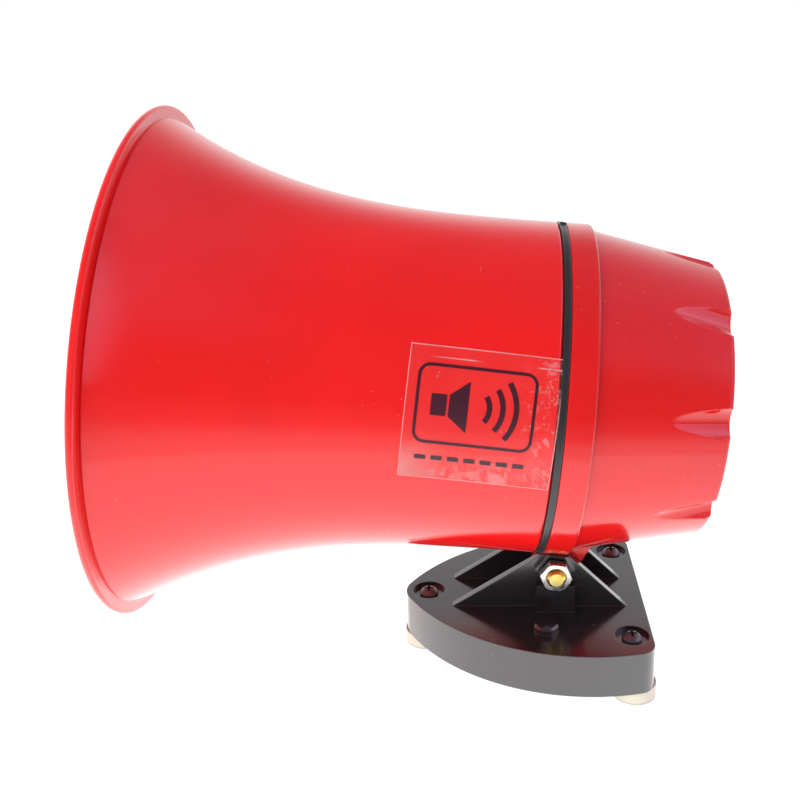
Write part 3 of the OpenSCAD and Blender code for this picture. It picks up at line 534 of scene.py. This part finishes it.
# ---------------------------------------------------------------- materials
class Nodes:
    """Short names for building a node tree."""

    def __init__(self, tree):
        self.tree = tree

    def add(self, kind, **values):
        node = self.tree.nodes.new(kind)
        for key, value in values.items():
            if hasattr(node, key):
                setattr(node, key, value)
            else:
                node.inputs[key].default_value = value
        return node

    def link(self, a, b):
        self.tree.links.new(a, b)

    def ramp(self, value, low, high, out_low, out_high, curve="LINEAR"):
        node = self.add("ShaderNodeMapRange", interpolation_type=curve)
        for key, number in (("From Min", low), ("From Max", high), ("To Min", out_low), ("To Max", out_high)):
            node.inputs[key].default_value = number
        self.link(value, node.inputs["Value"])
        return node.outputs["Result"]

    def fade(self, value, low, high, out_low, out_high):
        """A ramp with soft ends."""
        return self.ramp(value, low, high, out_low, out_high, "SMOOTHSTEP")

    def math(self, kind, a, b):
        node = self.add("ShaderNodeMath", operation=kind)
        for socket, value in zip(node.inputs, (a, b)):
            if isinstance(value, (int, float)):
                socket.default_value = value
            else:
                self.link(value, socket)
        return node.outputs[0]

    def times(self, a, b):
        return self.math("MULTIPLY", a, b)

    def most(self, *values):
        """The largest of two or more values."""
        top = values[0]
        for value in values[1:]:
            top = self.math("MAXIMUM", top, value)
        return top

    def mix(self, fac, a, b):
        node = self.add("ShaderNodeMix", data_type="RGBA")
        self.link(fac, node.inputs["Factor"])
        for socket, value in ((node.inputs[6], a), (node.inputs[7], b)):
            if isinstance(value, tuple):
                socket.default_value = (*value, 1)
            else:
                self.link(value, socket)
        return node.outputs[2]

    def split(self, vector):
        node = self.add("ShaderNodeSeparateXYZ")
        self.link(vector, node.inputs[0])
        return node.outputs

    def camera_ray(self):
        """1 for what is seen directly, 0 for what lights or is mirrored. Only the stage uses it."""
        return self.add("ShaderNodeLightPath").outputs["Is Camera Ray"]


class Graph(Nodes):
    """A material under construction."""

    def __init__(self, name):
        self.mat = bpy.data.materials.new(name)
        self.mat.use_nodes = True
        super().__init__(self.mat.node_tree)
        self.bsdf = self.tree.nodes["Principled BSDF"]
        self.place = self.add("ShaderNodeTexCoord").outputs["Object"]

    def noise(self, scale, detail=3.0, rough=0.5, stretch=None, distort=0.0):
        node = self.add("ShaderNodeTexNoise", Scale=scale, Detail=detail, Roughness=rough, Distortion=distort)
        if stretch:
            mapping = self.add("ShaderNodeMapping")
            mapping.inputs["Scale"].default_value = stretch
            self.link(self.place, mapping.inputs["Vector"])
            self.link(mapping.outputs[0], node.inputs["Vector"])
        else:
            self.link(self.place, node.inputs["Vector"])
        return node.outputs["Fac"]

    def patches(self, low, high, *noise, **more):
        """0 to 1 across a band of noise."""
        return self.ramp(self.noise(*noise, **more), low, high, 0, 1)

    def cells(self, scale, feature="F1"):
        node = self.add("ShaderNodeTexVoronoi", feature=feature, Scale=scale)
        self.link(self.place, node.inputs["Vector"])
        return node.outputs["Distance"]

    def finish(self, color, rough, bumps=(), edge=0.0):
        """Set colour, roughness, edges rounded by edge metres, and bumps [(height, strength, metres)]."""
        for value, key in ((color, "Base Color"), (rough, "Roughness")):
            if isinstance(value, tuple):
                self.bsdf.inputs[key].default_value = (*value, 1)
            elif isinstance(value, float):
                self.bsdf.inputs[key].default_value = value
            else:
                self.link(value, self.bsdf.inputs[key])
        normal = None
        if edge:
            node = self.add("ShaderNodeBevel", samples=4, Radius=edge)
            normal = node.outputs["Normal"]
        for height, strength, distance in bumps:
            bump = self.add("ShaderNodeBump", Strength=strength, Distance=distance)
            self.link(height, bump.inputs["Height"])
            if normal is not None:
                self.link(normal, bump.inputs["Normal"])
            normal = bump.outputs["Normal"]
        if normal is not None:
            self.link(normal, self.bsdf.inputs["Normal"])
        return self.mat


def shade(color, k):
    """A colour made darker or lighter."""
    return tuple(min(1.0, c * k) for c in color)


def glossy_plastic(name, color, rough=0.12, coat=0.0, edge=0.0, peel=0.10, dust=0.5, ior=1.5):
    """Moulded gloss plastic: faint flow marks, orange peel, hairline scratches and a little dust."""
    g = Graph(name)
    flow = g.noise(14, 3, 0.5, stretch=(1, 1.8, 1), distort=0.6)
    tone = g.mix(g.ramp(flow, 0.35, 0.65, 0, 1), shade(color, 0.94), shade(color, 1.05))
    specks = g.ramp(g.cells(520), 0.05, 0.09, 1, 0)
    thin = g.ramp(g.noise(60, 2), 0.58, 0.66, 0, dust)
    speck = g.times(specks, thin)
    dusty = g.mix(g.times(speck, 0.5), tone, (0.75, 0.72, 0.70))
    hair = g.ramp(g.noise(170, 2, 0.4, stretch=(0.22, 1, 3.2)), 0.60, 0.72, 0, 0.07)
    smear = g.ramp(g.noise(38, 4, 0.6), 0.4, 0.75, rough, rough + 0.07)
    value = g.math("ADD", g.math("ADD", smear, hair), g.times(speck, 0.3))
    g.bsdf.inputs["IOR"].default_value = ior
    g.bsdf.inputs["Coat Weight"].default_value = coat
    g.bsdf.inputs["Coat Roughness"].default_value = rough * 0.6
    return g.finish(dusty, value, [(g.noise(340, 2, 0.5), peel, 0.00006), (flow, 0.25, 0.0002)], edge)


def satin_plastic(name, color, rough=0.45, grain=700, edge=0.00025, strength=0.25):
    """Moulded plastic with a fine eroded grain."""
    g = Graph(name)
    tone = g.mix(g.patches(0.35, 0.65, 30, 4), shade(color, 0.86), shade(color, 1.1))
    value = g.ramp(g.noise(90, 4, 0.6), 0.3, 0.7, rough - 0.06, rough + 0.08)
    return g.finish(tone, value, [(g.noise(grain, 3, 0.6), strength, 0.00008)], edge)


def metal(name, color, tint, rough=0.28, edge=0.00015, brushed=(1, 1, 1)):
    """Plated or bare metal with uneven tone, fine brushing and small pits."""
    g = Graph(name)
    g.bsdf.inputs["Metallic"].default_value = 1.0
    tone = g.mix(g.patches(0.35, 0.68, 160, 4, 0.55, distort=0.8), color, tint)
    pits = g.ramp(g.cells(900), 0.10, 0.22, 1, 0)
    pitted = g.times(pits, g.ramp(g.noise(220, 2), 0.55, 0.7, 0, 0.6))
    tone = g.mix(pitted, tone, shade(color, 0.55))
    lines = g.noise(600, 3, 0.6, stretch=brushed)
    value = g.ramp(lines, 0.3, 0.7, rough - 0.08, rough + 0.10)
    return g.finish(tone, value, [(lines, 0.12, 0.00005), (pits, 0.15, 0.00004)], edge)


def label_film_material():
    """Clear sticker: nearly unseen in the middle, with a painted highlight at its cut edges and a painted
    whitish sheen where air is trapped.
    """
    g = Graph("label_film")
    g.bsdf.inputs["IOR"].default_value = 1.48
    x, y, _ = g.split(g.add("ShaderNodeUVMap", uv_map="place").outputs[0])

    def rim(value, width):
        """1 at both ends of the film."""
        low = g.ramp(value, width * 0.4, width, 1, 0)
        return g.most(low, g.ramp(value, 1 - width, 1 - width * 0.4, 0, 1))

    # painted highlight: the film's cut edges are drawn whitish, as if they caught the light
    cut = g.most(rim(x, 0.008), rim(y, 0.010))
    lifted = g.times(g.ramp(y, 0.26, 0.02, 0, 1), g.patches(0.48, 0.62, 260, 3, 0.6, distort=1.4))
    corner = g.times(g.ramp(x, 0.30, 0.02, 0, 1), g.ramp(y, 0.30, 0.02, 0, 1))
    flecks = g.ramp(g.noise(420, 3, 0.65, distort=1.0), 0.54, 0.64, 0, 0.8)
    right = g.times(g.ramp(x, 0.72, 0.95, 0, 1), flecks)
    bubbles = g.times(g.ramp(g.cells(430), 0.16, 0.10, 0, 0.8), g.patches(0.54, 0.62, 75, 2))
    crease = g.times(g.ramp(y, 0.912, 0.918, 0, 1), g.ramp(y, 0.926, 0.920, 0, 1))
    crease = g.times(crease, g.ramp(g.noise(90, 2), 0.46, 0.54, 0, 0.5))
    air = g.most(g.most(lifted, g.times(corner, 1.6)), g.most(right, bubbles))
    # painted highlight and painted sheen: the cut edges, the air pockets and the crease show more of the
    # film's pale colour; the air pockets also get real roughness and bumps below
    white = g.most(g.times(cut, 0.55), g.times(air, 0.26), crease)
    g.link(g.math("MINIMUM", g.math("ADD", white, 0.02), 1.0), g.bsdf.inputs["Alpha"])
    # the pink-white colour of that painted highlight and sheen
    color = g.mix(g.patches(0.35, 0.65, 120, 3), (0.80, 0.30, 0.29), (0.88, 0.42, 0.40))
    rough = g.ramp(air, 0, 1, 0.14, 0.42)
    rings = g.ramp(g.cells(430, "SMOOTH_F1"), 0.22, 0.30, 0, 1)
    swell = g.math("ADD", air, g.times(rings, 0.2))
    return g.finish(color, rough, [(swell, 0.35, 0.00015), (g.noise(60, 2), 0.25, 0.0004)])


def cloth_tape(name, color):
    """Woven tape with a visible weave."""
    g = Graph(name)
    weave = g.add("ShaderNodeTexWave", Scale=420, Distortion=0.6, Detail=2)
    g.link(g.place, weave.inputs["Vector"])
    tone = g.mix(weave.outputs["Fac"], shade(color, 0.78), shade(color, 1.1))
    rough = g.ramp(g.noise(200), 0.3, 0.7, 0.35, 0.6)
    return g.finish(tone, rough, [(weave.outputs["Fac"], 0.4, 0.0001)], 0.0002)


def board_material():
    """Green solder mask with lighter copper tracks under it."""
    g = Graph("circuit_board")
    tracks = g.ramp(g.cells(180, "DISTANCE_TO_EDGE"), 0.05, 0.08, 1, 0)
    vias = g.ramp(g.cells(330), 0.06, 0.10, 1, 0)
    tone = g.mix(tracks, (0.012, 0.10, 0.035), (0.03, 0.19, 0.07))
    tone = g.mix(vias, tone, (0.55, 0.55, 0.52))
    rough = g.ramp(g.noise(90), 0.3, 0.7, 0.25, 0.4)
    return g.finish(tone, rough, [(tracks, 0.3, 0.00005), (vias, 0.3, 0.0001)])


def film_material():
    """Amber diaphragm film with fine creases."""
    g = Graph("diaphragm_film")
    creases = g.noise(300, 4, 0.6, distort=1.5)
    g.bsdf.inputs["Transmission Weight"].default_value = 0.3
    tone = g.mix(g.ramp(creases, 0.35, 0.65, 0, 1), (0.46, 0.27, 0.06), (0.62, 0.40, 0.12))
    return g.finish(tone, g.ramp(creases, 0.3, 0.7, 0.18, 0.35), [(creases, 0.2, 0.0001)])


def resistor_material():
    """Beige body with coloured bands across it."""
    g = Graph("resistor_body")
    bands = g.add("ShaderNodeTexWave", bands_direction="Y", Scale=160, Distortion=0.3)
    g.link(g.place, bands.inputs["Vector"])
    stripe = g.ramp(bands.outputs["Fac"], 0.80, 0.86, 0, 1)
    color = g.mix(g.patches(0.45, 0.55, 140, 0), (0.30, 0.04, 0.01), (0.05, 0.02, 0.35))
    tone = g.mix(stripe, (0.60, 0.46, 0.26), color)
    return g.finish(tone, g.ramp(g.noise(200), 0.3, 0.7, 0.3, 0.5), [(stripe, 0.2, 0.00005)])


RED = (0.74, 0.0085, 0.0085)
BLACK = (0.011, 0.0105, 0.0115)

MATERIALS = {
    "red": glossy_plastic("red_plastic", RED, rough=0.11, coat=0.25),
    # painted shade: the rear housing wears the bell's red made darker, a shaded copy of the same plastic
    "red_rear_painted_shade": glossy_plastic("red_rear_painted_shade", shade(RED, 0.86), rough=0.11, coat=0.25),
    "red_inner": glossy_plastic("red_inner", shade(RED, 0.9), rough=0.22, edge=0.0003),
    "black": glossy_plastic("black_plastic", BLACK, rough=0.19, coat=0.5, edge=0.0005, peel=0.08, dust=0.8,
                            ior=1.8),
    "dark": satin_plastic("dark_plastic", (0.022, 0.022, 0.024)),
    "white": satin_plastic("white_plastic", (0.78, 0.77, 0.74), 0.35),
    "cream": satin_plastic("cream_nylon", (0.58, 0.53, 0.43), 0.42, edge=0.0004),
    "rubber": satin_plastic("black_rubber", (0.020, 0.020, 0.022), 0.30, 900, 0.0, 0.15),
    "fibre": satin_plastic("fibre", (0.26, 0.15, 0.07), 0.7, 500, strength=0.6),
    "ink": satin_plastic("label_print", (0.050, 0.006, 0.016), 0.30, 900, 0.0, 0.1),
    "black_steel": glossy_plastic("black_steel", (0.040, 0.037, 0.042), rough=0.24, coat=0.4, edge=0.0002,
                                  ior=1.7),
    "zinc": metal("zinc", (0.78, 0.78, 0.77), (0.60, 0.61, 0.62), 0.20),
    "yellow_zinc": metal("yellow_zinc", (0.86, 0.62, 0.12), (0.78, 0.66, 0.26), 0.26),
    "bronze": metal("bronze", (0.55, 0.34, 0.12), (0.42, 0.25, 0.09), 0.35),
    "steel": metal("steel_plate", (0.52, 0.52, 0.53), (0.40, 0.40, 0.41), 0.34),
    "aluminium": metal("aluminium_sink", (0.72, 0.73, 0.74), (0.62, 0.63, 0.65), 0.38, brushed=(1, 1, 0.1)),
    "brass": metal("brass_tag", (0.78, 0.66, 0.36), (0.62, 0.52, 0.26), 0.30),
    "copper": metal("copper", (0.72, 0.30, 0.12), (0.55, 0.20, 0.08), 0.28, brushed=(0.1, 1, 1)),
    "ferrite": satin_plastic("ferrite", (0.035, 0.035, 0.038), 0.62, 600, 0.0004, 0.7),
    "sleeve": satin_plastic("lead_sleeve", (0.30, 0.015, 0.015), 0.38),
    "board": board_material(),
    "tape": cloth_tape("winding_tape", (0.62, 0.44, 0.06)),
    "can": glossy_plastic("can_sleeve", (0.012, 0.022, 0.09), rough=0.2, edge=0.0003),
    "blue": glossy_plastic("blue_plastic", (0.02, 0.09, 0.42), rough=0.25, edge=0.0002),
    "resistor": resistor_material(),
    "green": satin_plastic("terminal_green", (0.02, 0.22, 0.08), 0.4),
    "film": film_material(),
    "label": label_film_material(),
}

# the CAD nodes that stay, by the material they wear
WEARS = {
    "black": ["bracket_base"],
    "dark": ["throat_plate", "clamp_ring", "power_transistors", "tone_chip"],
    "white": ["phase_plug"],
    "cream": ["foot_washers"],
    "rubber": ["cable_grommet"],
    "fibre": ["friction_washers"],
    "black_steel": ["base_screws"],
    "zinc": ["pivot_nut", "pivot_spring_washer", "tube_screws", "cup_screw", "housing_screws",
             "driver_screws", "board_screws"],
    "yellow_zinc": ["pivot_bolt"],
    "bronze": ["pivot_bush"],
    "steel": ["top_plate", "pole_yoke"],
    "aluminium": ["heat_sink"],
    "brass": ["coil_terminals"],
    "copper": ["voice_coil"],
    "ferrite": ["magnet", "transformer_core"],
    "sleeve": ["coil_leads"],
    "board": ["circuit_board"],
    "tape": ["transformer_winding"],
    "can": ["capacitors"],
    "blue": ["volume_trimmer"],
    "resistor": ["resistors"],
    "green": ["supply_terminal"],
    "film": ["diaphragm"],
    "red_inner": ["throat_tube", "reflector_cup", "turning_cone"],
}


def wear(obj, key):
    """Give a piece one of the materials, in place of the frame's."""
    obj.data.materials.clear()
    obj.data.materials.append(MATERIALS[key])


for key, names in WEARS.items():
    for name in names:
        wear(nodes[name], key)

bell = build_bell()
gasket = build_gasket()
housing = build_housing()
film, ink = build_label()
wear(bell, "red")
wear(housing, "red_rear_painted_shade")
wear(gasket, "rubber")
wear(film, "label")
wear(ink, "ink")

# ---------------------------------------------------------------- floor, light and camera
scene = bpy.context.scene
scene.view_settings.view_transform = "Standard"

FLOOR_HALF = 6.0  # metres
TABLE = (((0.50, 0.42), 0.5), ((0.66, 0.60), 0.15), ((0.86, 0.80), 0.05))  # ovals: size, radiance
SOFT_LIGHTS = (
    ("overhead", (-0.1, 0.1, 1.1), (1.6, 1.4), 1.05),
    ("front", (-0.50, -0.62, 0.30), (0.8, 0.6), 3.9),
)
AIM = (0, 0, 0.08)  # the soft lights look at the horn
ROOM_DIM = 0.20
WHITE, SKY_TINT, WINDOW_TINT = (1, 1, 1), (0.92, 0.84, 1), (0.80, 0.66, 1)


def add_floor():
    mesh = bpy.data.meshes.new("floor")
    size = FLOOR_HALF
    mesh.from_pydata([(-size, -size, 0), (size, -size, 0), (size, size, 0), (-size, size, 0)], [],
                     [(0, 1, 2, 3)])
    obj = bpy.data.objects.new("floor", mesh)
    scene.collection.objects.link(obj)
    g = Graph("floor_paper")
    tone = g.mix(g.patches(0.3, 0.7, 3, 2), (0.24, 0.24, 0.24), (0.27, 0.27, 0.27))
    g.bsdf.inputs["Specular IOR Level"].default_value = 0.1
    g.bsdf.inputs["Emission Color"].default_value = (*WHITE, 1)
    # dimmer in reflections on the -Y side, but plain white wherever it is seen
    mirrored = g.fade(g.split(g.place)[1], -0.42, -0.12, 0.10, 0.9)
    g.link(g.most(mirrored, g.camera_ray()), g.bsdf.inputs["Emission Strength"])
    obj.data.materials.append(g.finish(tone, 0.8))


def area_light(name, place, size, power, shape="RECTANGLE"):
    """A lamp that the camera doesn't see. It shines down until it is turned."""
    light = bpy.data.lights.new(name, "AREA")
    light.shape = shape
    light.size, light.size_y = size
    light.energy = power
    obj = bpy.data.objects.new(name, light)
    obj.location = place
    obj.visible_camera = False
    scene.collection.objects.link(obj)
    return obj


def aim(obj, target):
    """Turn a lamp to a place, with its own X level."""
    z = np.array(obj.location, float) - np.array(target, float)
    z /= np.linalg.norm(z)
    x = np.cross((0, 0, 1), z)
    x /= np.linalg.norm(x)
    y = np.cross(z, x)
    obj.rotation_euler = Matrix((tuple(x), tuple(y), tuple(z))).transposed().to_euler()


def card_power(radiance, size, ellipse=False):
    """Watts of an area light that looks as bright as radiance."""
    area = size[0] * size[1] * (math.pi / 4 if ellipse else 1)
    return radiance * math.pi * area


def add_lights():
    # light from the white table, in nested ovals so that it fades outwards
    for i, (size, radiance) in enumerate(TABLE):
        place = (0.0, 0.03, 0.0004 + 0.0001 * i)
        table = area_light(f"table_{i}", place, size, card_power(radiance, size, True), "ELLIPSE")
        table.rotation_euler = (math.pi, 0, 0)
    # soft light from overhead and from the -Y side, too wide to show as a shape in the gloss
    for name, place, size, radiance in SOFT_LIGHTS:
        soft = area_light(name, place, size, card_power(radiance, size))
        aim(soft, AIM)
        soft.visible_glossy = False


def add_world():
    world = bpy.data.worlds.new("studio")
    scene.world = world
    world.use_nodes = True
    w = Nodes(world.node_tree)
    x, y, z = w.split(w.add("ShaderNodeTexCoord").outputs["Generated"])

    def mixed(kind, a, b):
        node = w.add(kind)
        w.link(a, node.inputs[-2])
        w.link(b, node.inputs[-1])
        return node

    # the backdrop is white, the room above it and on the -Y side is dim, with a little violet overhead
    backdrop = w.times(w.fade(y, -0.45, 0.7, 0.0, 0.8), w.fade(z, 0.25, 0.86, 1.0, 0.12))
    background = w.tree.nodes["Background"]
    w.link(w.math("ADD", backdrop, ROOM_DIM), background.inputs["Strength"])
    w.link(w.mix(w.fade(z, 0.3, 0.9, 0.0, 1.0), WHITE, SKY_TINT), background.inputs["Color"])

    # a violet-white window far to the right, with a glow round it, for the flutes and the rear's shoulder
    pane = w.times(w.fade(x, 0.62, 0.72, 0.0, 1.7), w.fade(x, 0.80, 0.90, 1.0, 0.0))
    pane = w.times(pane, w.fade(y, 0.1, 0.4, 1.0, 0.0))
    glow = w.times(w.fade(x, 0.15, 0.6, 0.0, 0.35), w.fade(z, 0.25, 0.65, 0.0, 1.0))
    window = w.add("ShaderNodeBackground", Color=(*WINDOW_TINT, 1))
    w.link(w.math("ADD", pane, glow), window.inputs["Strength"])
    room = mixed("ShaderNodeAddShader", background.outputs[0], window.outputs[0])

    # plain white wherever the world itself is seen
    seen = w.add("ShaderNodeBackground", Color=(*WHITE, 1), Strength=1.0)
    either = mixed("ShaderNodeMixShader", room.outputs[0], seen.outputs[0])
    w.link(w.camera_ray(), either.inputs[0])
    w.link(either.outputs[0], w.tree.nodes["World Output"].inputs[0])


CAMERA_PLACE = (-0.0210, -0.27775, 0.18089)
CAMERA_YAW, CAMERA_PITCH, CAMERA_ROLL = -0.045, 0.287, -0.023
LENS, SENSOR = 47.061, 36.0  # millimetres
SHIFT_X, SHIFT_Y = -0.04255, -0.0926625  # the object stands a little off the camera's axis


def add_camera():
    data = bpy.data.cameras.new("camera")
    data.sensor_width = SENSOR
    data.lens = LENS
    data.shift_x, data.shift_y = SHIFT_X, SHIFT_Y
    data.clip_start = 0.01
    level = math.cos(CAMERA_PITCH)
    ahead = np.array((math.sin(CAMERA_YAW) * level, math.cos(CAMERA_YAW) * level, -math.sin(CAMERA_PITCH)))
    right = np.array((math.cos(CAMERA_YAW), -math.sin(CAMERA_YAW), 0))
    up = np.cross(right, ahead)
    rolled_right = right * math.cos(CAMERA_ROLL) + up * math.sin(CAMERA_ROLL)
    rolled_up = up * math.cos(CAMERA_ROLL) - right * math.sin(CAMERA_ROLL)
    turn = Matrix((tuple(rolled_right), tuple(rolled_up), tuple(-ahead))).transposed()
    cam = bpy.data.objects.new("camera", data)
    cam.matrix_world = Matrix.Translation(CAMERA_PLACE) @ turn.to_4x4()
    scene.collection.objects.link(cam)
    scene.camera = cam


add_floor()
add_lights()
add_world()
add_camera()
